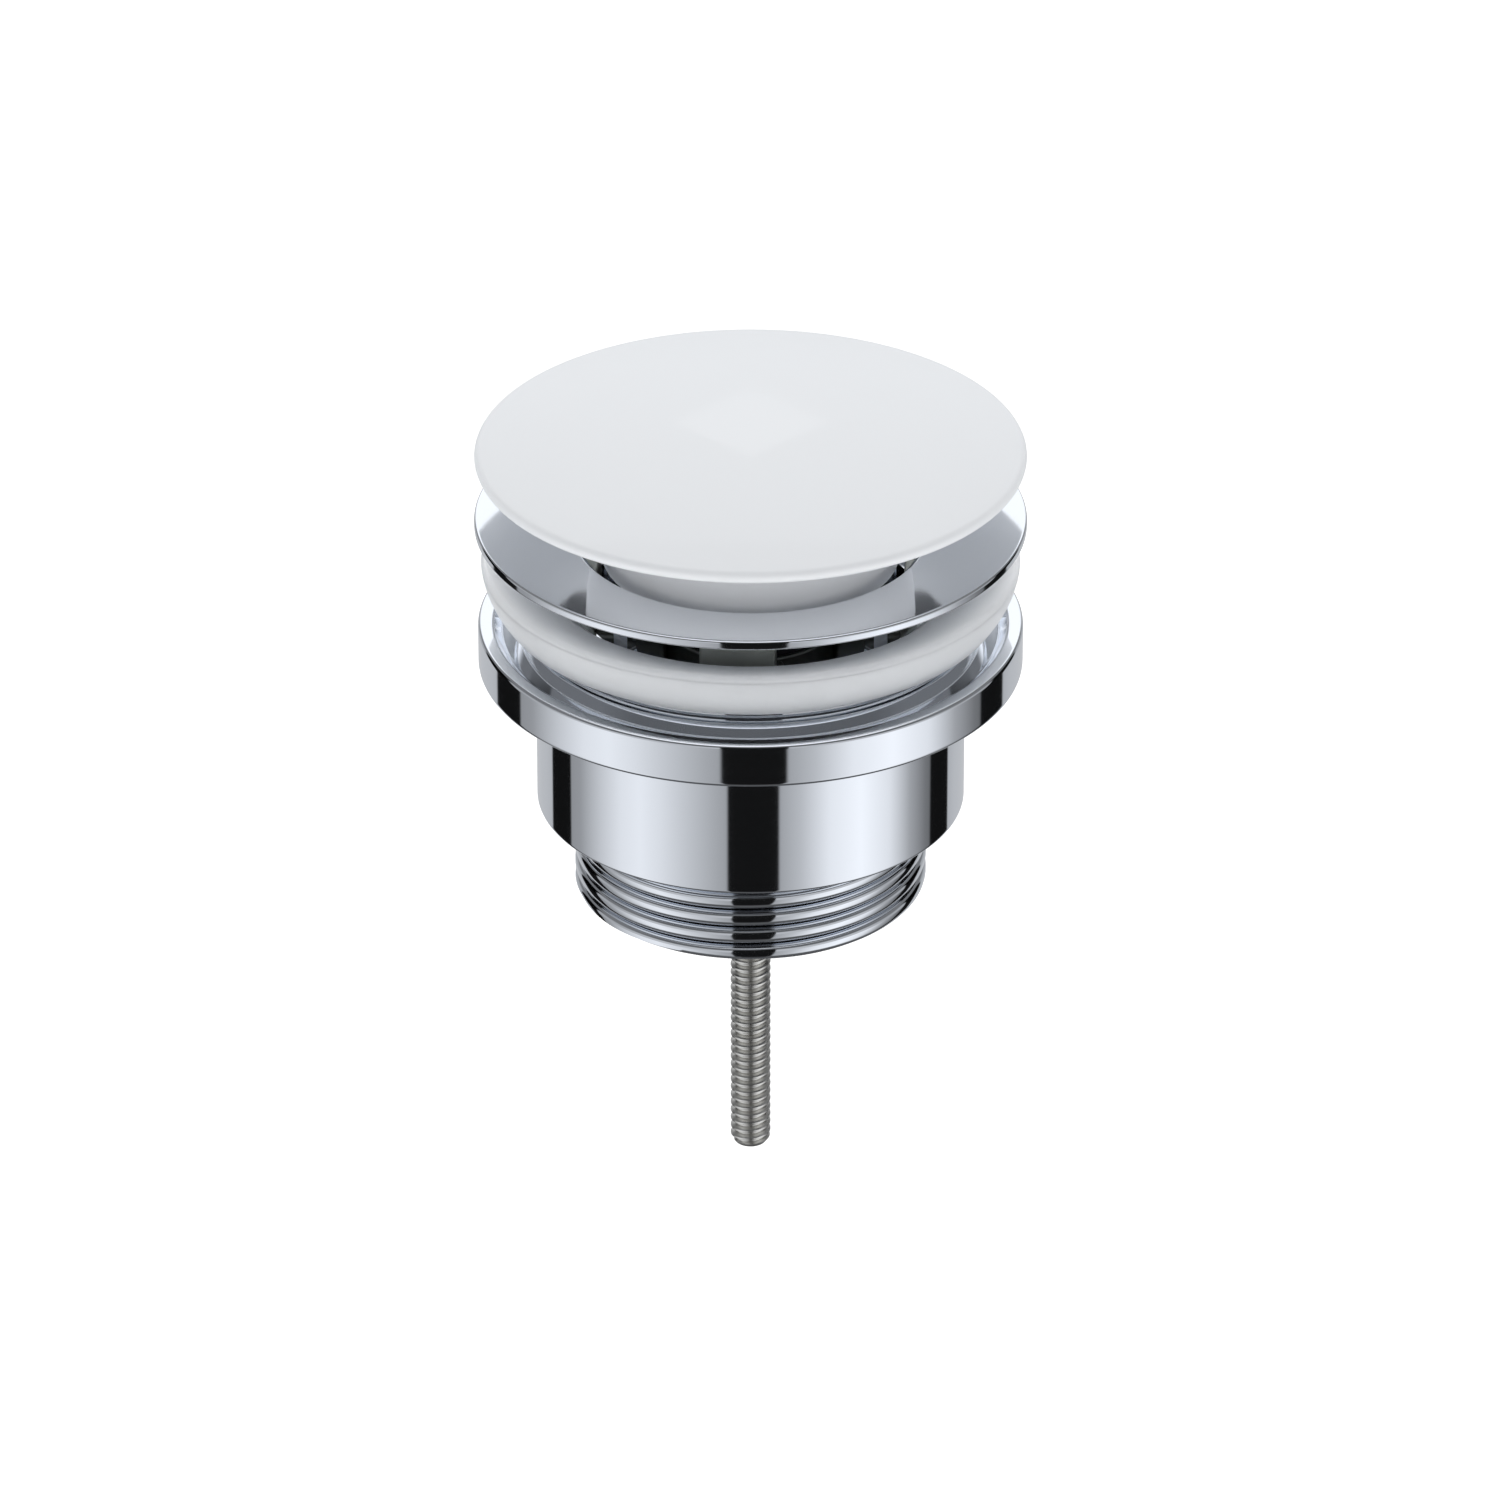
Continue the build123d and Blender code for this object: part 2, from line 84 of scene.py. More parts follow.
def finish_mesh(name, bm, sharp=40.0):
    """Turns a bmesh into a smooth shaded object that keeps its hard corners."""
    bmesh.ops.remove_doubles(bm, verts=bm.verts, dist=SAME_POINT)
    bmesh.ops.dissolve_degenerate(bm, edges=bm.edges, dist=SLIVER)
    bmesh.ops.recalc_face_normals(bm, faces=bm.faces)
    mesh = bpy.data.meshes.new(name)
    bm.to_mesh(mesh)
    bm.free()
    mesh.shade_smooth()
    mesh.set_sharp_from_angle(angle=math.radians(sharp))
    obj = bpy.data.objects.new(name, mesh)
    bpy.context.scene.collection.objects.link(obj)
    return obj


def turn_profile(bm, points, closed=True, steps=TURN_STEPS):
    """Spins a profile a full turn about Z into bm."""
    verts = [bm.verts.new((max(r, 0.0) * MM, 0, z * MM)) for r, z in points]
    pairs = list(zip(verts, verts[1:]))
    if closed:
        pairs.append((verts[-1], verts[0]))
    edges = [bm.edges.new(pair) for pair in pairs]
    bmesh.ops.spin(
        bm, geom=verts + edges, cent=(0, 0, 0), axis=(0, 0, 1), dvec=(0, 0, 0),
        angle=2 * math.pi, steps=steps, use_merge=True, use_normal_flip=False, use_duplicate=False,
    )


def turned_piece(name, corners, arc_steps=6):
    """A turned piece from its rounded profile."""
    bm = bmesh.new()
    turn_profile(bm, rounded(corners, arc_steps))
    return finish_mesh(name, bm)


def wind_thread(bm, tooth, pitch, phase, low, high, outer_limit, steps):
    """Winds a closed tooth section, given as (radius, rise), into an empty bm.

    The thread is kept within outer_limit(height) and trimmed flat at low and high."""
    turns = math.ceil((high - low) / pitch) + 3
    first_z = low + phase - 2 * pitch
    section = [bm.verts.new((r * MM, 0, (first_z + rise) * MM)) for r, rise in tooth]
    edges = [bm.edges.new(pair) for pair in zip(section, section[1:] + section[:1])]
    body = bm.faces.new(section)
    bmesh.ops.spin(
        bm, geom=section + edges + [body], cent=(0, 0, 0), axis=(0, 0, 1),
        dvec=(0, 0, pitch * MM / steps), angle=2 * math.pi * turns, steps=steps * turns,
        use_merge=False, use_normal_flip=False, use_duplicate=False,
    )
    for v in bm.verts:
        radius = math.hypot(v.co.x, v.co.y)
        scale = min(1.0, outer_limit(v.co.z / MM) * MM / radius)
        v.co.x *= scale
        v.co.y *= scale
    for height, way in ((low, -1), (high, 1)):
        cut = bmesh.ops.bisect_plane(
            bm, geom=bm.verts[:] + bm.edges[:] + bm.faces[:], plane_co=(0, 0, height * MM),
            plane_no=(0, 0, way), clear_outer=True,
        )["geom_cut"]
        rim = [e for e in cut if isinstance(e, bmesh.types.BMEdge) and e.is_boundary]
        bmesh.ops.edgeloop_fill(bm, edges=rim)


def arm_bars(bm, width, inner, outer, low, high, soften, turn=0.0):
    """Four radial arms with softened edges, turned on by an angle in degrees."""
    size = (width * MM, (outer - inner) * MM, (high - low) * MM)
    place = (0, (inner + outer) / 2 * MM, (low + high) / 2 * MM)
    for quarter in range(4):
        bearing = quarter * math.pi / 2 + math.radians(turn)
        made = bmesh.ops.create_cube(bm, size=1.0)["verts"]
        bmesh.ops.scale(bm, vec=size, verts=made)
        bmesh.ops.translate(bm, vec=place, verts=made)
        bmesh.ops.rotate(bm, cent=(0, 0, 0), matrix=Matrix.Rotation(bearing, 3, "Z"), verts=made)
        bar_edges = {e for v in made for e in v.link_edges}
        bmesh.ops.bevel(
            bm, geom=list(bar_edges), offset=soften * MM, offset_type="OFFSET", segments=3,
            profile=0.5, affect="EDGES", material=-1,
        )


def effect_group(name, inputs, outputs):
    """Empty shader node group with float inputs and the named outputs."""
    group = bpy.data.node_groups.new(name, "ShaderNodeTree")
    for label, value in inputs:
        socket = group.interface.new_socket(label, in_out="INPUT", socket_type="NodeSocketFloat")
        socket.default_value = value
    for label in outputs:
        group.interface.new_socket(label, in_out="OUTPUT", socket_type="NodeSocketFloat")
    return group, group.nodes.new("NodeGroupInput"), group.nodes.new("NodeGroupOutput")


def feed(tree, socket, value):
    """Sets a socket to a number or links it to another node's output."""
    if isinstance(value, (int, float)):
        socket.default_value = value
    else:
        tree.links.new(value, socket)


def math_node(tree, operation, *values):
    """Math node with its inputs linked or set."""
    node = tree.nodes.new("ShaderNodeMath")
    node.operation = operation
    for socket, value in zip(node.inputs, values):
        feed(tree, socket, value)
    return node.outputs[0]


# Rings left by turning and polishing. They follow the distance from the axis and the
# height, so they run round the piece, and a soft cloudy noise is mixed into them.
lathe_marks, marks_in, marks_out = effect_group(
    "lathe_marks", [("Fineness", 2600.0), ("Low", 0.04), ("High", 0.08)], ["Height", "Roughness"],
)
RING_SHARE, CLOUD_SHARE, METAL_CLOUD_SCALE = 0.4, 0.6, 120.0
coords = lathe_marks.nodes.new("ShaderNodeTexCoord")
split = lathe_marks.nodes.new("ShaderNodeSeparateXYZ")
lathe_marks.links.new(coords.outputs["Object"], split.inputs[0])
flat_square = math_node(
    lathe_marks, "ADD",
    math_node(lathe_marks, "MULTIPLY", split.outputs[0], split.outputs[0]),
    math_node(lathe_marks, "MULTIPLY", split.outputs[1], split.outputs[1]),
)
from_axis = math_node(lathe_marks, "SQRT", flat_square)
ring_place = lathe_marks.nodes.new("ShaderNodeCombineXYZ")
lathe_marks.links.new(from_axis, ring_place.inputs[0])
lathe_marks.links.new(split.outputs[2], ring_place.inputs[1])
ring_noise = lathe_marks.nodes.new("ShaderNodeTexNoise")
ring_noise.noise_dimensions = "2D"
ring_noise.inputs["Detail"].default_value = 2.0
lathe_marks.links.new(ring_place.outputs[0], ring_noise.inputs["Vector"])
lathe_marks.links.new(marks_in.outputs["Fineness"], ring_noise.inputs["Scale"])
cloud_noise = lathe_marks.nodes.new("ShaderNodeTexNoise")
cloud_noise.inputs["Detail"].default_value = 3.0
lathe_marks.links.new(coords.outputs["Object"], cloud_noise.inputs["Vector"])
cloud_noise.inputs["Scale"].default_value = METAL_CLOUD_SCALE
lathe_marks.links.new(ring_noise.outputs["Fac"], marks_out.inputs["Height"])
mixed = math_node(
    lathe_marks, "ADD",
    math_node(lathe_marks, "MULTIPLY", ring_noise.outputs["Fac"], RING_SHARE),
    math_node(lathe_marks, "MULTIPLY", cloud_noise.outputs["Fac"], CLOUD_SHARE),
)
span = math_node(lathe_marks, "SUBTRACT", marks_in.outputs["High"], marks_in.outputs["Low"])
above_low = math_node(lathe_marks, "MULTIPLY", mixed, span)
rough = math_node(lathe_marks, "ADD", marks_in.outputs["Low"], above_low)
lathe_marks.links.new(rough, marks_out.inputs["Roughness"])
BUMP_DISTANCE = 0.00002


def plain_surface(name, color, **sockets):
    """Material with one Principled shader; constant values go on its own sockets."""
    material = bpy.data.materials.new(name)
    material.use_nodes = True
    shader = material.node_tree.nodes["Principled BSDF"]
    shader.inputs["Base Color"].default_value = (*color, 1.0)
    for label, value in sockets.items():
        shader.inputs[label.replace("_", " ")].default_value = value
    return material, shader


def add_relief(tree, shader, height, strength):
    """Bump from a height output into a shader."""
    bump = tree.nodes.new("ShaderNodeBump")
    bump.inputs["Strength"].default_value = strength
    bump.inputs["Distance"].default_value = BUMP_DISTANCE
    tree.links.new(height, bump.inputs["Height"])
    tree.links.new(bump.outputs["Normal"], shader.inputs["Normal"])


def turned_metal(name, color, low, high, fineness, depth, metallic=1.0):
    """Metal with lathe rings in its roughness and, where depth is set, in its relief."""
    material, shader = plain_surface(name, color, Metallic=metallic)
    tree = material.node_tree
    marks = tree.nodes.new("ShaderNodeGroup")
    marks.node_tree = lathe_marks
    for label, value in (("Fineness", fineness), ("Low", low), ("High", high)):
        marks.inputs[label].default_value = value
    tree.links.new(marks.outputs["Roughness"], shader.inputs["Roughness"])
    if depth:
        add_relief(tree, shader, marks.outputs["Height"], depth)
    return material


chrome = turned_metal("polished_chrome", (0.83, 0.855, 0.895), 0.035, 0.075, 900.0, 0.0)

TAIL_R, TAIL_ROOT, TAIL_BORE, TAIL_LENGTH = 20.955, 19.476, 17.9, 11.68
BARREL_R, BARREL_BORE, BARREL_FLOOR = 25.4, 23.4, 13.28
FLANGE_R, FLANGE_LOW, FLANGE_TOP = 32.2, 29.46, 34.98
RECESS, RECESS_LIP_R, RECESS_WALL_R = 33.23, 30.4, 29.3
COLLAR_R, COLLAR_TOP = 27.1, 36.58
GROOVE_R = COLLAR_R - 0.5
lower_shell = turned_piece("lower_body_shell", [
    (TAIL_BORE, 0, 0.25),
    (TAIL_ROOT, 0, 0.3),
    (TAIL_ROOT, TAIL_LENGTH, 0.3),
    (BARREL_R, TAIL_LENGTH, 0.45),
    (BARREL_R, FLANGE_LOW, 0.25),
    (FLANGE_R, FLANGE_LOW, 0.6),
    (FLANGE_R, FLANGE_TOP, 0.45),
    (RECESS_LIP_R, FLANGE_TOP, 0.45),
    (RECESS_WALL_R, RECESS + 0.35, 0.8),
    (COLLAR_R, RECESS, 0.12),
    (COLLAR_R, RECESS + 1.95, 0.08),
    (GROOVE_R, RECESS + 2.05, 0.06),
    (GROOVE_R, RECESS + 2.65, 0.06),
    (COLLAR_R, RECESS + 2.75, 0.08),
    (COLLAR_R, COLLAR_TOP, 0.3),
    (BARREL_BORE, COLLAR_TOP, 0.2),
    (BARREL_BORE, BARREL_FLOOR, 1.4),
    (18.7, BARREL_FLOOR - 0.4, 0.5),
    (TAIL_BORE, BARREL_FLOOR - 1.2, 0.4),
])
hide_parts("lower_body")
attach(lower_shell, "body")
lower_shell.data.materials.append(chrome)

# The tail's thread: a rounded tooth wound at the pipe thread's pitch, fading at both ends.
TAIL_PITCH, TAIL_PHASE = 2.309, 0.5
THREAD_LOW, THREAD_TOP, THREAD_FADE = 0.02, 10.3, 0.9
TOOTH_INNER = TAIL_ROOT - 0.6
tail_tooth = [
    (TOOTH_INNER, 0.05), (TAIL_R - 1.05, 0.09), (TAIL_R - 0.62, 0.2), (TAIL_R - 0.3, 0.37),
    (TAIL_R - 0.1, 0.62), (TAIL_R, 1.0), (TAIL_R, 1.5), (TAIL_R - 0.08, 1.8),
    (TAIL_R - 0.28, 2.0), (TAIL_R - 0.6, 2.13), (TAIL_R - 1.05, 2.22), (TOOTH_INNER, 2.26),
]


def tail_limit(z):
    """Largest radius of the tail's thread at a height."""
    share = min(1.0, (z + 0.3) / THREAD_FADE, (THREAD_TOP - z) / THREAD_FADE)
    return TAIL_ROOT - 0.12 + 1.6 * max(0.0, share)


bm = bmesh.new()
wind_thread(bm, tail_tooth, TAIL_PITCH, TAIL_PHASE, THREAD_LOW, THREAD_TOP, tail_limit, 128)
tail_thread = finish_mesh("tail_thread", bm)
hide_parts("lower_body")
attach(tail_thread, "body")
tail_thread.data.materials.append(chrome)

SPIDER_LOW, SPIDER_TOP, SPIDER_HUB, SPIDER_BORE = 6.2, 12.2, 6.2, 4.05
ARM_WIDTH, ARM_START, ARM_END = 4.0, 5.0, TAIL_BORE + 0.6
bm = bmesh.new()
arm_bars(bm, ARM_WIDTH, ARM_START, ARM_END, SPIDER_LOW, SPIDER_TOP, 0.5)
turn_profile(bm, rounded([
    (SPIDER_BORE, SPIDER_LOW, 0.2),
    (SPIDER_HUB, SPIDER_LOW, 0.4),
    (SPIDER_HUB, SPIDER_TOP, 0.4),
    (SPIDER_BORE, SPIDER_TOP, 0.2),
]), steps=96)
spider = finish_mesh("spider_casting", bm)
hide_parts("tail_spider")
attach(spider, "body")
spider.data.materials.append(chrome)

# THREADED BUSH AND COLLAR GASKET
# The bush is turned brass, pressed up into the spider with its flange below. The
# gasket is a flat EPDM ring on the collar and seals below the basin.
brass = turned_metal("turned_brass", (0.80, 0.60, 0.30), 0.18, 0.34, 3200.0, 0.25)
GRAIN_CLOUD_SCALE = 140.0
moulded_grain, grain_in, grain_out = effect_group(
    "moulded_grain", [("Scale", 3000.0)], ["Height", "Cloud"],
)
grain_coords = moulded_grain.nodes.new("ShaderNodeTexCoord")
grain_noise = moulded_grain.nodes.new("ShaderNodeTexNoise")
grain_noise.inputs["Detail"].default_value = 3.0
cloud = moulded_grain.nodes.new("ShaderNodeTexNoise")
cloud.inputs["Scale"].default_value = GRAIN_CLOUD_SCALE
moulded_grain.links.new(grain_coords.outputs["Object"], grain_noise.inputs["Vector"])
moulded_grain.links.new(grain_coords.outputs["Object"], cloud.inputs["Vector"])
moulded_grain.links.new(grain_in.outputs["Scale"], grain_noise.inputs["Scale"])
moulded_grain.links.new(grain_noise.outputs["Fac"], grain_out.inputs["Height"])
moulded_grain.links.new(cloud.outputs["Fac"], grain_out.inputs["Cloud"])


def moulded(name, color, low, high, scale, strength, **sockets):
    """Moulded or glazed surface: fine grain in its relief, soft clouds in its roughness."""
    material, shader = plain_surface(name, color, **sockets)
    tree = material.node_tree
    grain = tree.nodes.new("ShaderNodeGroup")
    grain.node_tree = moulded_grain
    grain.inputs["Scale"].default_value = scale
    ramp = tree.nodes.new("ShaderNodeMapRange")
    ramp.inputs["To Min"].default_value = low
    ramp.inputs["To Max"].default_value = high
    tree.links.new(grain.outputs["Cloud"], ramp.inputs["Value"])
    tree.links.new(ramp.outputs["Result"], shader.inputs["Roughness"])
    add_relief(tree, shader, grain.outputs["Height"], strength)
    return material


def paint_node(name, material):
    """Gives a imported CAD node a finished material."""
    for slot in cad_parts[name].material_slots:
        slot.material = material


black_rubber = moulded("black_rubber", (0.022, 0.022, 0.024), 0.42, 0.62, 5200.0, 0.3)
BUSH_R, BUSH_FLANGE_R, BUSH_BORE, BUSH_LOW = 4.0, 6.0, 2.463, 4.6
bush = turned_piece("screw_bush", [
    (BUSH_BORE, BUSH_LOW, 0.15),
    (BUSH_FLANGE_R, BUSH_LOW, 0.3),
    (BUSH_FLANGE_R, SPIDER_LOW, 0.1),
    (BUSH_R, SPIDER_LOW, 0.0),
    (BUSH_R, SPIDER_TOP, 0.2),
    (BUSH_BORE, SPIDER_TOP, 0.15),
])
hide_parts("body_insert")
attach(bush, "body")
bush.data.materials.append(brass)
GASKET_BORE, GASKET_R, GASKET_TOP = 22.1, 26.8, 37.58
gasket = turned_piece("collar_gasket_ring", [
    (GASKET_BORE, COLLAR_TOP, 0.15),
    (GASKET_R, COLLAR_TOP, 0.15),
    (GASKET_R, GASKET_TOP, 0.25),
    (GASKET_BORE, GASKET_TOP, 0.25),
])
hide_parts("collar_gasket")
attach(gasket, "body")
gasket.data.materials.append(black_rubber)

# SEALING RING
# Soft milky silicone, moulded, with a top that slopes down to the neck. It hangs
# loose round the neck and is pressed up against the dish when the screw is tightened.
RING_Z, RING_HEIGHT, RING_HEIGHT_INSIDE = 37.68, 6.1, 1.7
RING_R, RING_FOOT, RING_BORE = 31.8, 29.4, 22.3
FLANK_STEPS, FLANK_BULGE = 20, 2.1
silicone = moulded(
    "milky_silicone", (0.74, 0.79, 0.865), 0.3, 0.42, 900.0, 0.02,
    Subsurface_Weight=1.0, Subsurface_Radius=(1.0, 1.0, 1.0), Subsurface_Scale=0.02,
    Coat_Weight=0.1, Coat_Roughness=0.3,
)
flank = []
for k in range(1, FLANK_STEPS - 2):
    rise = k / FLANK_STEPS
    inset = (RING_R - RING_FOOT) * (1 - rise) ** FLANK_BULGE
    flank.append((RING_R - inset, RING_Z + RING_HEIGHT * rise, 0.0))
ring = turned_piece("silicone_ring", [
    (RING_BORE, RING_Z, 0.3),
    (RING_FOOT, RING_Z, 0.3),
    *flank,
    (RING_R, RING_Z + RING_HEIGHT, 0.6),
    (24.9, RING_Z + 3.9, 0.35),
    (RING_BORE, RING_Z + RING_HEIGHT_INSIDE, 0.4),
], arc_steps=8)
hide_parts("sealing_ring")
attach(ring, "seal")
ring.data.materials.append(silicone)

# TOP PIECE
# Dish, neck, cross and hub in one chrome plated casting. The dish is turned and
# polished, the neck has four overflow windows, and the cross and hub are left as cast.
# The cross and hub are coloured with a darker copy of the cast finish: painted shade deep inside the
# neck.
SEAT = 47.58
DISH_R, DISH_UNDER_R, NECK_R, NECK_BORE = 32.5, 31.0, 21.5, 20.0
dish = turned_piece("dish", [
    (NECK_BORE, SEAT - 3.4, 0.0),
    (NECK_R, SEAT - 3.4, 0.0),
    (NECK_R, SEAT - 2.75, 0.5),
    (DISH_UNDER_R, SEAT, 0.4),
    (DISH_R, SEAT, 0.28),
    (DISH_R, SEAT + 1.2, 0.3),
    (DISH_R - 1.0, SEAT + 1.0, 0.2),
    (20.8, SEAT - 1.16, 0.35),
    (NECK_BORE, SEAT - 1.96, 0.3),
])
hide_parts("flange_cup")
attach(dish, "top")
dish.data.materials.append(chrome)

CAD_SAME_POINT = 1e-6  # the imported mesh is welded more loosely, also in metres


def cad_slice(name, node, height, way, sharp):
    """What lies below (way 1) or above (way -1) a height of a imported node, closed at the cut."""
    bm = bmesh.new()
    bm.from_mesh(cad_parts[node].data)
    bmesh.ops.remove_doubles(bm, verts=bm.verts, dist=CAD_SAME_POINT)
    cut = bmesh.ops.bisect_plane(
        bm, geom=bm.verts[:] + bm.edges[:] + bm.faces[:], plane_co=(0, 0, height * MM),
        plane_no=(0, 0, way), clear_outer=True,
    )["geom_cut"]
    rim = [e for e in cut if isinstance(e, bmesh.types.BMEdge)]
    bmesh.ops.triangle_fill(bm, edges=rim, use_beauty=True)
    for face in bm.faces:
        face.material_index = 0
    return finish_mesh(name, bm, sharp)


NECK_CUT = SEAT - 3.1
neck = cad_slice("windowed_neck", "flange_cup", NECK_CUT, 1, 25.0)
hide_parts("flange_cup")
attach(neck, "top")
neck.data.materials.append(chrome)

cast_chrome = turned_metal("cast_chrome", (0.45, 0.465, 0.43), 0.34, 0.46, 1400.0, 0.3)
# Painted shade: the cross and hub get a darker copy of the lugs' cast finish, standing for the shade
# deep inside the neck.
painted_shade_casting = turned_metal("painted_shade_casting", (0.17, 0.175, 0.165), 0.34, 0.46, 1400.0, 0.3)
CROSS_WIDTH, CROSS_TOP, CROSS_LOW = 8.0, 34.88, 28.58
HUB_R, HUB_BORE, HUB_FOOT_R, HUB_FOOT, HUB_SHOULDER = 10.4, 8.05, 7.4, 14.38, 20.98
HEAD_BORE, HEAD_SEAT, SCREW_HOLE_R = 5.2, 16.88, 2.75
bm = bmesh.new()
arm_bars(bm, CROSS_WIDTH, HUB_R - 0.6, NECK_BORE + 0.05, CROSS_LOW, CROSS_TOP, 0.8)
turn_profile(bm, rounded([
    (HUB_BORE, HUB_SHOULDER, 0.1),
    (HUB_BORE, CROSS_TOP, 0.2),
    (HUB_R, CROSS_TOP, 0.4),
    (HUB_R, HUB_SHOULDER - 0.4, 0.8),
    (HUB_FOOT_R, HUB_FOOT + 3.0, 0.6),
    (HUB_FOOT_R, HUB_FOOT, 0.4),
    (SCREW_HOLE_R, HUB_FOOT, 0.2),
    (SCREW_HOLE_R, HEAD_SEAT, 0.1),
    (HEAD_BORE, HEAD_SEAT, 0.2),
    (HEAD_BORE, HUB_SHOULDER, 0.1),
]), steps=128)
cross = finish_mesh("cross_and_hub", bm)
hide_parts("cup_cross")
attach(cross, "top")
cross.data.materials.append(painted_shade_casting)

# Upright lugs on the cross behind the windows, turned a little from the arms.
LUG_WIDTH, LUG_START, LUG_END = 8.9, 18.0, NECK_BORE - 0.05
LUG_LOW, LUG_TOP, LUG_TURN = CROSS_TOP - 0.4, 41.4, -4.4
bm = bmesh.new()
arm_bars(bm, LUG_WIDTH, LUG_START, LUG_END, LUG_LOW, LUG_TOP, 0.3, LUG_TURN)
lugs = finish_mesh("window_lugs", bm)
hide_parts("cup_cross")
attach(lugs, "top")
lugs.data.materials.append(cast_chrome)

# CLAMPING SCREW AND WASHER
# Stainless No. 10-24 screw with a rolled thread over its whole length, a slotted
# head on a washer in the hub, and a rounded free end.
steel = turned_metal("rolled_stainless", (0.70, 0.69, 0.66), 0.22, 0.34, 3600.0, 0.2)
SCREW_TOP, SCREW_TIP = 17.68, -36.12
SCREW_R, SCREW_CORE, SCREW_PITCH = 2.413, 1.9, 1.0583
SCREW_TIP_FADE, SCREW_HEAD_FADE = 1.0, 0.8
SCREW_FLANK_R, SCREW_ROOT_R, SCREW_INNER_R = SCREW_R - 0.1, SCREW_CORE + 0.02, SCREW_CORE - 0.4
screw_tooth = [
    (SCREW_INNER_R, 0.03), (SCREW_ROOT_R, 0.08), (SCREW_FLANK_R, 0.34), (SCREW_R, 0.42),
    (SCREW_R, 0.64), (SCREW_FLANK_R, 0.72), (SCREW_ROOT_R, 0.98), (SCREW_INNER_R, 1.03),
]


def screw_limit(z):
    """Largest radius of the screw's thread at a height."""
    share = min((z - SCREW_TIP) / SCREW_TIP_FADE, (SCREW_TOP - z) / SCREW_HEAD_FADE, 1.0)
    return SCREW_CORE - 0.1 + 0.75 * max(0.0, share)


bm = bmesh.new()
wind_thread(bm, screw_tooth, SCREW_PITCH, 0.0, SCREW_TIP + 0.1, SCREW_TOP - 0.1, screw_limit, 40)
turn_profile(bm, rounded([
    (0.0, SCREW_TIP, 0.0),
    (1.25, SCREW_TIP, 0.1),
    (SCREW_CORE, SCREW_TIP + 0.55, 0.1),
    (SCREW_CORE, SCREW_TOP, 0.0),
    (0.0, SCREW_TOP + 0.5, 0.0),
]), closed=False, steps=64)
screw = finish_mesh("long_screw", bm)
head = cad_slice("slotted_head", "clamp_screw", SCREW_TOP + 0.02, -1, 30.0)
for piece in (screw, head):
    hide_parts("clamp_screw")
    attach(piece, "screw")
    piece.data.materials.append(steel)
paint_node("screw_washer", steel)

# CARTRIDGE AND STEM
# Chrome plated housing with a brass plug. Inside: acetal index ring and bush, brass
# spacer sleeve, rubber wiper, stainless return spring and the brass stem. The stem
# ends in a lock nut and the brass insert of the cap.
acetal_white = moulded("white_acetal", (0.80, 0.80, 0.77), 0.35, 0.5, 2600.0, 0.2)
acetal_grey = moulded("grey_acetal", (0.13, 0.135, 0.145), 0.35, 0.5, 2600.0, 0.2)
for node, finish in (
    ("cartridge_housing", chrome), ("cartridge_plug", brass), ("spacer_sleeve", brass),
    ("cartridge_gasket", black_rubber), ("stem_wiper", black_rubber), ("guide_bush", acetal_white),
    ("index_ring", acetal_grey), ("return_spring", steel), ("stem", brass), ("lock_nut", brass),
    ("cap_insert", brass),
):
    paint_node(node, finish)

# STOPPER CUP AND LIP RING
# Satin chrome cup that hangs below the cap, its skirt in the hole of the dish. The
# black lip ring sits in a groove near its top and closes the hole.
satin = turned_metal("satin_chrome", (0.93, 0.945, 0.97), 0.42, 0.52, 1600.0, 0.05, metallic=0.1)
CUP_WEB, CUP_WEB_TOP, CUP_TOP, CUP_SKIRT = 52.78, 54.78, 55.78, 43.38
CUP_R, CUP_WALL_R, CUP_BORE, GROOVE_FLOOR_R, CUP_FLANGE_R = 17.5, 16.1, 2.55, 16.9, 19.0
cup = turned_piece("stopper_cup_shell", [
    (CUP_BORE, CUP_WEB, 0.15),
    (14.5, CUP_WEB, 0.5),
    (CUP_WALL_R, CUP_WEB - 1.6, 0.5),
    (CUP_WALL_R, CUP_SKIRT, 0.2),
    (CUP_R, CUP_SKIRT, 0.3),
    (CUP_R, CUP_WEB, 0.15),
    (GROOVE_FLOOR_R, CUP_WEB, 0.1),
    (GROOVE_FLOOR_R, CUP_WEB + 1.7, 0.1),
    (CUP_FLANGE_R, CUP_WEB + 1.7, 0.15),
    (CUP_FLANGE_R, CUP_TOP, 0.3),
    (15.0, CUP_TOP, 0.3),
    (14.2, CUP_WEB_TOP, 0.3),
    (CUP_BORE, CUP_WEB_TOP, 0.15),
])
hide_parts("stopper_cup")
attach(cup, "stopper")
cup.data.materials.append(satin)
LIP_BORE, LIP_R, LIP_LOW, LIP_TOP = 16.95, 20.5, CUP_WEB + 0.1, CUP_WEB + 1.6
lip = turned_piece("lip_ring", [
    (LIP_BORE, LIP_LOW, 0.1),
    (LIP_R - 0.8, LIP_LOW, 0.15),
    (LIP_R, CUP_WEB + 0.85, 0.2),
    (LIP_R, LIP_TOP, 0.25),
    (LIP_BORE, LIP_TOP, 0.1),
])
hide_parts("stopper_seal")
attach(lip, "stopper")
lip.data.materials.append(black_rubber)

# CAP
# Shallow dome of white ceramic with a matt glaze, a thin rounded edge and a boss
# below that takes the brass insert.
ceramic = moulded(
    "white_ceramic", (0.79, 0.81, 0.835), 0.36, 0.46, 2200.0, 0.06, Specular_IOR_Level=0.5,
)
CAP_R, CAP_RIM, CAP_EDGE, CAP_RISE = 32.4, 56.75, 0.78, 3.5
BOSS_R, BOSS_FOOT, INSERT_R, INSERT_TOP = 12.0, 54.88, 4.05, 59.03
UNDER_RISE, UNDER_BULGE, UNDER_END_R = 1.45, 0.8, 12.5
DOME_STEPS, EDGE_STEPS, UNDER_STEPS = 40, 13, 12
edge_r = CAP_R - CAP_EDGE
apex = CAP_RIM + CAP_EDGE + CAP_RISE
dome_r = (edge_r ** 2 + CAP_RISE ** 2) / (2 * CAP_RISE)
cap_profile = []
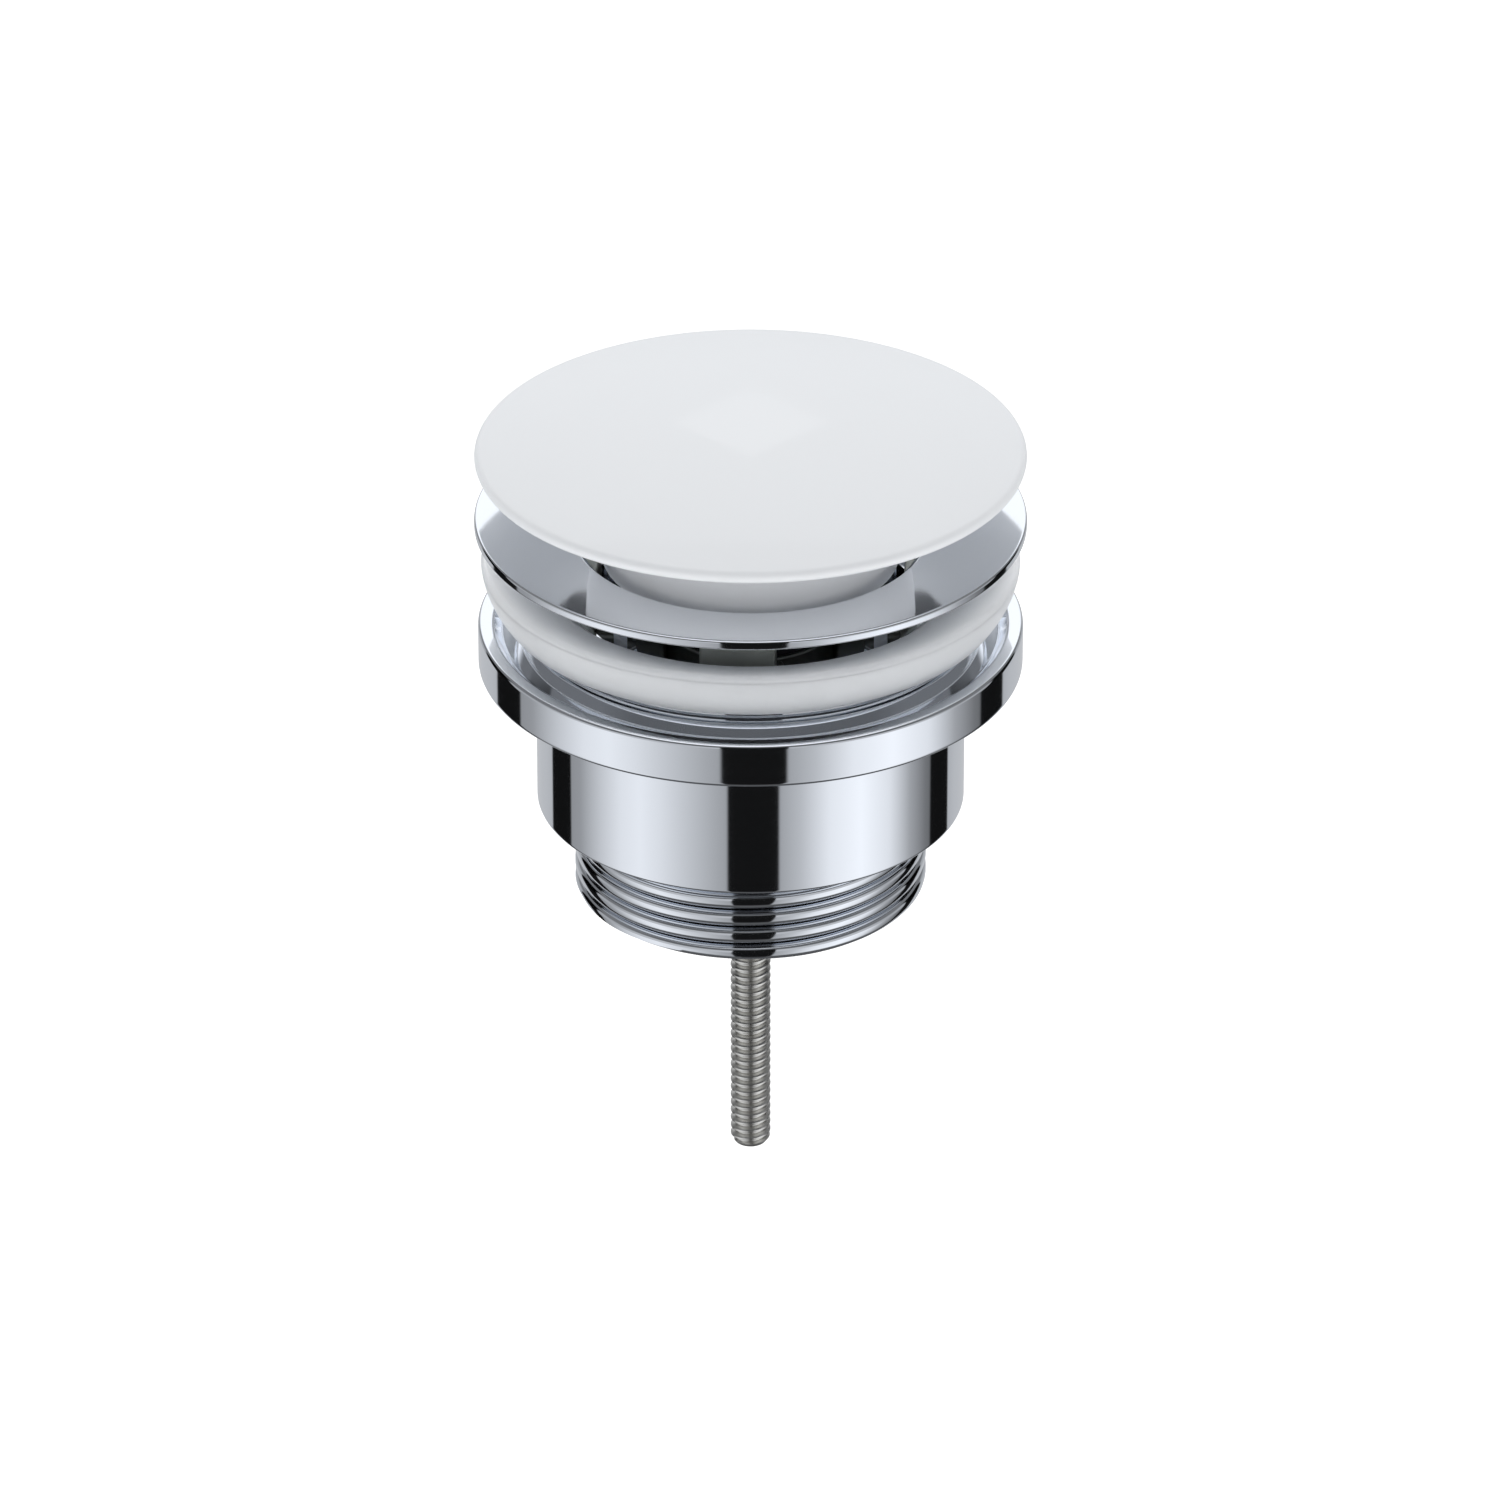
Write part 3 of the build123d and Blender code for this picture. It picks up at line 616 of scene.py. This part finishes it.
for k in range(DOME_STEPS + 1):
    r = edge_r * k / DOME_STEPS
    cap_profile.append((r, apex - dome_r + math.sqrt(dome_r ** 2 - r ** 2)))
tilt = math.asin(edge_r / dome_r)
for k in range(1, EDGE_STEPS + 1):
    a = math.pi / 2 - tilt - (math.pi - tilt) * k / EDGE_STEPS
    cap_profile.append((edge_r + CAP_EDGE * math.cos(a), CAP_RIM + CAP_EDGE * math.sin(a)))
under = CAP_RIM - CAP_EDGE
for k in range(1, UNDER_STEPS + 1):
    r = edge_r - (edge_r - UNDER_END_R) * k / UNDER_STEPS
    inward = (edge_r - r) / (edge_r - UNDER_END_R)
    cap_profile.append((r, under + UNDER_RISE * inward ** UNDER_BULGE))
boss = rounded([
    (UNDER_END_R, under + UNDER_RISE, 0.0),
    (BOSS_R, under + UNDER_RISE, 0.4),
    (BOSS_R, BOSS_FOOT, 0.5),
    (INSERT_R, BOSS_FOOT, 0.1),
    (INSERT_R, INSERT_TOP, 0.0),
    (0.0, INSERT_TOP, 0.0),
])
bm = bmesh.new()
turn_profile(bm, cap_profile + boss[1:], closed=False, steps=256)
dome = finish_mesh("ceramic_cap", bm)
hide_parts("cap")
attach(dome, "stopper")
dome.data.materials.append(ceramic)

# STUDIO FLOOR
# White sweep far below the hanging waste. It glows a little, and more where it is
# seen, so that it reads as white paper. The studio's sizes are in metres.
FLOOR_SIZE, FLOOR_Z = 8.0, -0.45
FLOOR_GLOW, FLOOR_SEEN_GLOW = 0.35, 0.15
bm = bmesh.new()
bmesh.ops.create_grid(bm, x_segments=1, y_segments=1, size=FLOOR_SIZE)
bmesh.ops.translate(bm, vec=(0, 0, FLOOR_Z), verts=bm.verts)
floor_mesh = bpy.data.meshes.new("floor")
bm.to_mesh(floor_mesh)
bm.free()
floor = bpy.data.objects.new("floor", floor_mesh)
bpy.context.scene.collection.objects.link(floor)
floor_paint, shader = plain_surface("floor_white", (0.85, 0.85, 0.85), Roughness=0.9)
shader.inputs["Emission Color"].default_value = (1, 1, 1, 1)
tree = floor_paint.node_tree
path = tree.nodes.new("ShaderNodeLightPath")
seen = math_node(tree, "MAXIMUM", path.outputs["Is Camera Ray"], path.outputs["Is Glossy Ray"])
seen = math_node(tree, "MAXIMUM", seen, path.outputs["Is Transmission Ray"])
seen_glow = math_node(tree, "MULTIPLY", seen, FLOOR_SEEN_GLOW)
floor_glow = math_node(tree, "ADD", seen_glow, FLOOR_GLOW)
tree.links.new(floor_glow, shader.inputs["Emission Strength"])
floor.data.materials.append(floor_paint)

# STUDIO CARDS
# A dome of pale and dark cards round the waste that only reflections see. Bearings are
# degrees from the camera side, to the right positive, and heights degrees above level.
CARD_DOME_R = 0.42
IN_DEGREES = 180 / math.pi
bm = bmesh.new()
bmesh.ops.create_uvsphere(bm, u_segments=64, v_segments=32, radius=CARD_DOME_R)
card_mesh = bpy.data.meshes.new("card_dome")
bm.to_mesh(card_mesh)
bm.free()
cards = bpy.data.objects.new("card_dome", card_mesh)
bpy.context.scene.collection.objects.link(cards)
card_paint = bpy.data.materials.new("card_light")
card_paint.use_nodes = True
tree = card_paint.node_tree
tree.nodes.remove(tree.nodes["Principled BSDF"])
place = tree.nodes.new("ShaderNodeTexCoord")
xyz = tree.nodes.new("ShaderNodeSeparateXYZ")
tree.links.new(place.outputs["Object"], xyz.inputs[0])
toward = math_node(tree, "MULTIPLY", xyz.outputs[1], -1.0)
bearing = math_node(tree, "MULTIPLY", math_node(tree, "ARCTAN2", xyz.outputs[0], toward), IN_DEGREES)
upward = math_node(tree, "DIVIDE", xyz.outputs[2], CARD_DOME_R)
height = math_node(tree, "MULTIPLY", math_node(tree, "ARCSINE", upward), IN_DEGREES)


def soft_step(tree, value, low, high):
    """0 below low, 1 above high."""
    node = tree.nodes.new("ShaderNodeMapRange")
    node.interpolation_type = "SMOOTHSTEP"
    node.inputs["From Min"].default_value = low
    node.inputs["From Max"].default_value = high
    tree.links.new(value, node.inputs["Value"])
    return node.outputs["Result"]


def blend_levels(tree, share, first, second):
    """first where share is 0, second where it is 1."""
    node = tree.nodes.new("ShaderNodeMix")
    node.data_type = "FLOAT"
    for socket, value in zip((node.inputs[0], node.inputs[2], node.inputs[3]), (share, first, second)):
        feed(tree, socket, value)
    return node.outputs[0]


# Wall cards below the horizon, as (bearing, level): soft greys, with a black card in
# front and one at each side towards the back.
wall_levels = [
    (-180, 0.60), (-140, 0.55), (-132.2, 0.52), (-131.4, 0.006), (-110.6, 0.006), (-109.8, 0.33),
    (-102, 0.36), (-86, 0.66), (-72, 0.90), (-60, 0.98), (-48, 0.86), (-36, 0.69),
    (-26, 0.56), (-18, 0.46), (-12.2, 0.40), (-11.6, 0.007), (14.2, 0.007), (14.8, 0.42),
    (18, 0.46), (26, 0.58), (42, 0.96), (60, 1.12), (78, 0.90), (93, 0.42),
    (106, 0.20), (109.6, 0.18), (110.4, 0.006), (130.0, 0.006), (130.8, 0.50), (140, 0.55),
    (180, 0.60),
]
ramp = tree.nodes.new("ShaderNodeValToRGB")
elements = ramp.color_ramp.elements
last = len(wall_levels) - 1
for i, (degrees, level) in enumerate(wall_levels):
    spot = degrees / 360 + 0.5
    if i == 0:
        stop = elements[0]
    elif i == last:
        stop = elements[-1]
    else:
        stop = elements.new(spot)
    stop.position = spot
    stop.color = (level, level, level, 1)
around_share = math_node(tree, "ADD", math_node(tree, "DIVIDE", bearing, 360.0), 0.5)
tree.links.new(around_share, ramp.inputs["Fac"])

# Above the walls: a front band with its black card, side bands with theirs, and a
# bright ceiling over all of them. Far below the walls it is dark.
CEILING, BLACK, DEEP_LEVEL = 1.2, 0.007, 0.10
FRONT_CARD_BEARING, SIDE_CARD_BEARING = 1.5, 120.5
FRONT_LOW_LEVEL, FRONT_HIGH_LEVEL = 0.56, 0.14
SIDE_LOW_LEVEL, SIDE_HIGH_LEVEL, BACK_HIGH_LEVEL = 0.45, 0.2, 1.2

# Soft edges of the cards as (start, end): the first seven are heights, the rest bearings.
DEEP_EDGE, WALL_EDGE, CEILING_EDGE = (-54.0, -40.0), (-16.0, -9.0), (50.0, 64.0)
FRONT_FADE, FRONT_CARD_TOP = (12.0, 22.0), (26.0, 34.0)
SIDE_FADE, SIDE_CARD_TOP = (4.0, 20.0), (18.0, 26.0)
FRONT_CARD_SIDE, SIDE_CARD_SIDE = (12.8, 13.4), (9.5, 12.0)
FRONT_END, BACK_START = (62.0, 92.0), (145.0, 160.0)
ceiling_share = soft_step(tree, height, *CEILING_EDGE)
off_front = math_node(tree, "ABSOLUTE", math_node(tree, "SUBTRACT", bearing, FRONT_CARD_BEARING))
front_share = soft_step(tree, height, *FRONT_FADE)
front_band = blend_levels(tree, front_share, FRONT_LOW_LEVEL, FRONT_HIGH_LEVEL)
beside_card = soft_step(tree, off_front, *FRONT_CARD_SIDE)
front_card = blend_levels(tree, soft_step(tree, height, *FRONT_CARD_TOP), beside_card, 1.0)
front_band = math_node(tree, "ADD", math_node(tree, "MULTIPLY", front_band, front_card), BLACK)
front_band = blend_levels(tree, ceiling_share, front_band, CEILING)
off_camera = math_node(tree, "ABSOLUTE", bearing)
back_share = soft_step(tree, off_camera, *BACK_START)
side_level = blend_levels(tree, back_share, SIDE_HIGH_LEVEL, BACK_HIGH_LEVEL)
side_level = blend_levels(tree, ceiling_share, side_level, CEILING)
side_band = blend_levels(tree, soft_step(tree, height, *SIDE_FADE), SIDE_LOW_LEVEL, side_level)
off_side = math_node(tree, "ABSOLUTE", math_node(tree, "SUBTRACT", off_camera, SIDE_CARD_BEARING))
beside_card = soft_step(tree, off_side, *SIDE_CARD_SIDE)
side_card = blend_levels(tree, soft_step(tree, height, *SIDE_CARD_TOP), beside_card, 1.0)
side_band = math_node(tree, "MULTIPLY", side_band, side_card)
upper = blend_levels(tree, soft_step(tree, off_front, *FRONT_END), front_band, side_band)
walls = ramp.outputs["Color"]
dome_level = blend_levels(tree, soft_step(tree, height, *WALL_EDGE), walls, upper)
dome_level = blend_levels(tree, soft_step(tree, height, *DEEP_EDGE), DEEP_LEVEL, dome_level)
glow = tree.nodes.new("ShaderNodeEmission")
glow.inputs["Color"].default_value = (0.945, 0.965, 1.0, 1)
tree.links.new(dome_level, glow.inputs["Strength"])
tree.links.new(glow.outputs[0], tree.nodes["Material Output"].inputs["Surface"])
cards.data.materials.append(card_paint)
cards.visible_camera = False
cards.visible_diffuse = False
cards.visible_shadow = False
cards.visible_volume_scatter = False

# STUDIO LIGHT
# White surroundings light the dull surfaces: brightest low down in front, darkest
# overhead in front. One large soft lamp hangs above and behind.
FRONT_HORIZON, BACK_HORIZON = 1.85, 1.28
FRONT_OVERHEAD, BACK_OVERHEAD = 0.2, 0.98
HORIZON_TURN, OVERHEAD_TURN, OVERHEAD_EDGE = (-0.6, 0.2), (-0.5, 0.6), (0.2, 0.55)
world = bpy.data.worlds.new("studio_world")
bpy.context.scene.world = world
world.use_nodes = True
tree = world.node_tree
back = tree.nodes["Background"]
back.inputs["Color"].default_value = (1, 1, 1, 1)
path = tree.nodes.new("ShaderNodeLightPath")
place = tree.nodes.new("ShaderNodeTexCoord")
xyz = tree.nodes.new("ShaderNodeSeparateXYZ")
tree.links.new(place.outputs["Generated"], xyz.inputs[0])
overhead_share = soft_step(tree, xyz.outputs[1], *OVERHEAD_TURN)
overhead = blend_levels(tree, overhead_share, FRONT_OVERHEAD, BACK_OVERHEAD)
horizon_share = soft_step(tree, xyz.outputs[1], *HORIZON_TURN)
horizon = blend_levels(tree, horizon_share, FRONT_HORIZON, BACK_HORIZON)
around = blend_levels(tree, soft_step(tree, xyz.outputs[2], *OVERHEAD_EDGE), horizon, overhead)
strength = blend_levels(tree, path.outputs["Is Camera Ray"], around, 1.0)
tree.links.new(strength, back.inputs["Strength"])

lamp_data = bpy.data.lights.new("soft_top", "AREA")
lamp_data.shape = "RECTANGLE"
lamp_data.size = 0.9
lamp_data.size_y = 0.7
lamp_data.energy = 3.3
lamp = bpy.data.objects.new("soft_top", lamp_data)
bpy.context.scene.collection.objects.link(lamp)
lamp.location = (0.0, 0.70, 0.70)
LAMP_AIM = Vector((0, 0, 0.04))
lamp.rotation_euler = (LAMP_AIM - lamp.location).to_track_quat("-Z", "Y").to_euler()

# CAMERA
# Long lens from the front, 28 degrees above the horizon, as the photograph was taken.
ELEVATION = math.radians(28.03)
DISTANCE = 1.268
AIM = Vector((-0.00007, 0, 0.01738))
camera_data = bpy.data.cameras.new("camera")
camera_data.sensor_fit = "HORIZONTAL"
camera_data.sensor_width = 36.0
camera_data.lens = 255.94
camera = bpy.data.objects.new("camera", camera_data)
bpy.context.scene.collection.objects.link(camera)
camera.location = AIM + DISTANCE * Vector((0, -math.cos(ELEVATION), math.sin(ELEVATION)))
camera.rotation_euler = (math.pi / 2 - ELEVATION, 0, 0)
bpy.context.scene.camera = camera
bpy.context.scene.view_settings.view_transform = "Standard"
